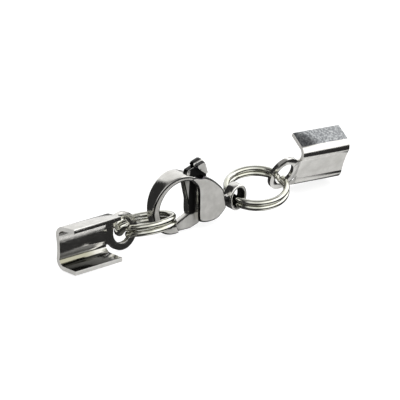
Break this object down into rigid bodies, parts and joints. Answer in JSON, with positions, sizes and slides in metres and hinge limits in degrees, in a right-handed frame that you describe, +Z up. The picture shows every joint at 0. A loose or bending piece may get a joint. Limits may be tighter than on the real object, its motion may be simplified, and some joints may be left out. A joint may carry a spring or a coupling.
{
  "type": "lobster clasp with split rings and cord ends",
  "caption": "Lobster claw clasp with a sprung gate lever, joined by split rings to folded cord ends that grip the ends of a flat cord.",
  "frame": {"origin": "on the supporting surface, under the middle of the row's bounding box", "axes": "+X along the row from the claw's side to the eye's side of the clasp, +Z up, and the clasp's front face looks towards -Y"},
  "size_m": [0.0384, 0.0072, 0.0076],
  "materials": {
    "clasp_body": "satin faces with polished rounded edges",
    "gate_lever": "satin faces brushed across the gate, polished thumb tab",
    "pivot_pin": "plain drawn wire, hidden",
    "split_ring_left": "bright polished wire",
    "split_ring_right": "bright polished wire",
    "cord_end_left": "rolled sheet, bright inside",
    "cord_end_right": "rolled sheet, mottled top face and satin back"
  },
  "bodies": {
    "clasp": {"clasp_body": "clasp_body", "pivot_pin": "pivot_pin", "split_ring_left": "split_ring_left", "split_ring_right": "split_ring_right", "cord_end_left": "cord_end_left", "cord_end_right": "cord_end_right"},
    "lever": {"gate_lever": "gate_lever"}
  },
  "joints": [
    {"name": "gate_hinge", "type": "hinge", "parent": "clasp", "child": "lever", "pos_m": [-0.00089, 0.00019, 0.00194], "axis": [0, 0.9962, 0.0872], "range_deg": [0, 28], "stiffness_Nm_per_rad": 0.00001, "springref_deg": -45.84}
  ]
}
